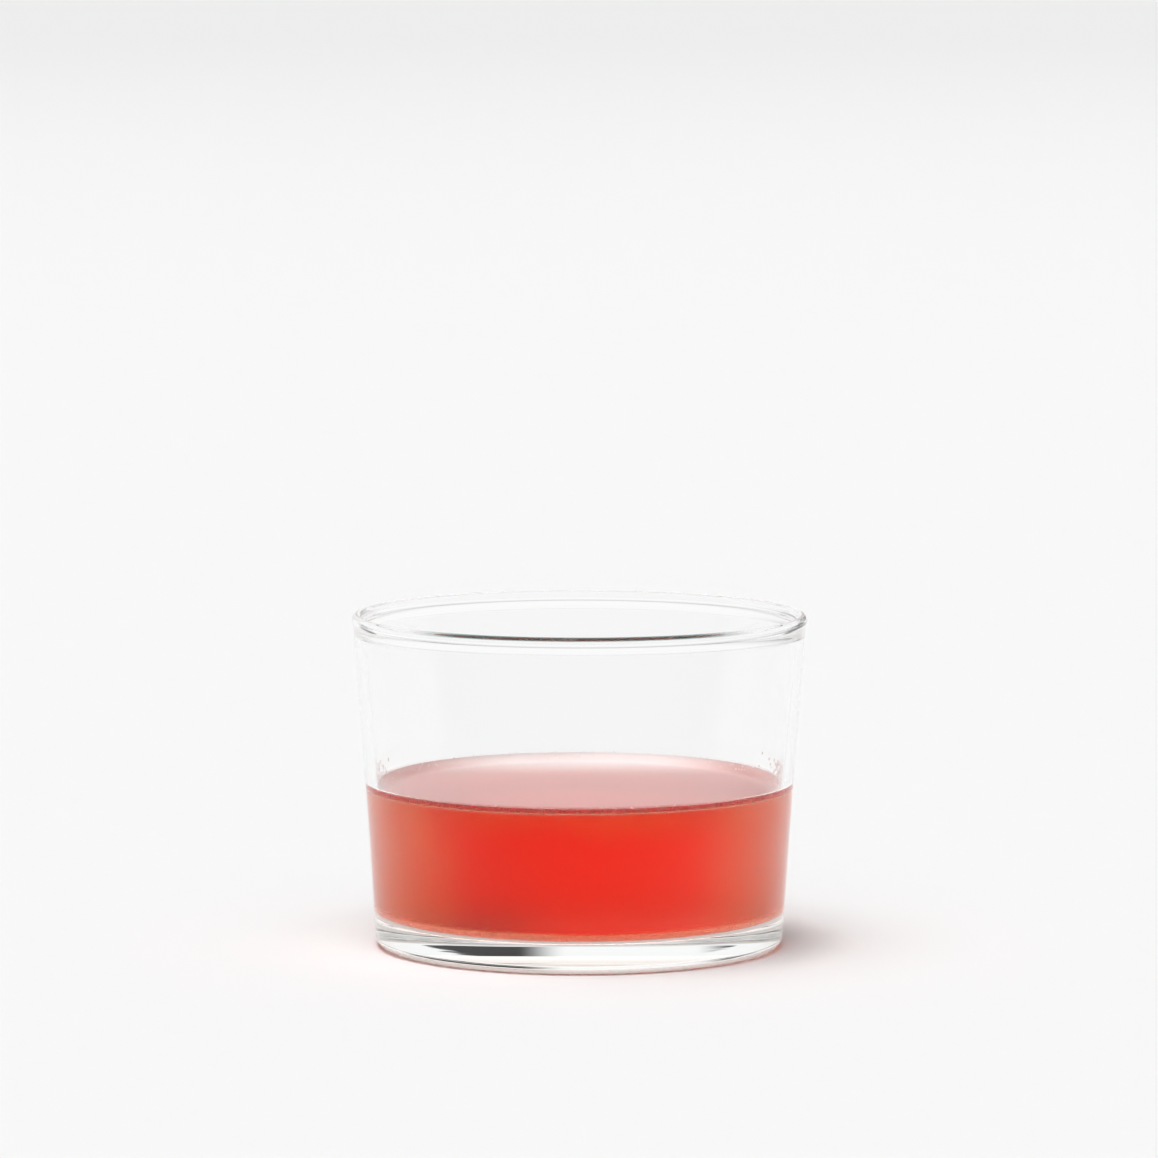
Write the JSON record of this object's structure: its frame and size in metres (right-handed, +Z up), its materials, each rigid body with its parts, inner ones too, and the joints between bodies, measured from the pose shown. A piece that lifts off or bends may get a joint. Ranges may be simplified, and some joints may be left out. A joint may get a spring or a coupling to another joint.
{
  "type": "drinking glass",
  "caption": "Low, wide clear drinking glass with a beaded rim, a slightly flared wall and a heavy base, part filled with a red drink.",
  "frame": {"origin": "middle of the base, on the table that the glass stands on", "axes": "+Z up along the axis of the glass; the glass is round, so +X and +Y are free"},
  "size_m": [0.083, 0.083, 0.0608],
  "materials": {
    "clear_glass": "clear, fire-polished",
    "red_drink": "clear liquid"
  },
  "bodies": {
    "root": {"tumbler": "clear_glass", "drink": "red_drink"}
  },
  "joints": []
}
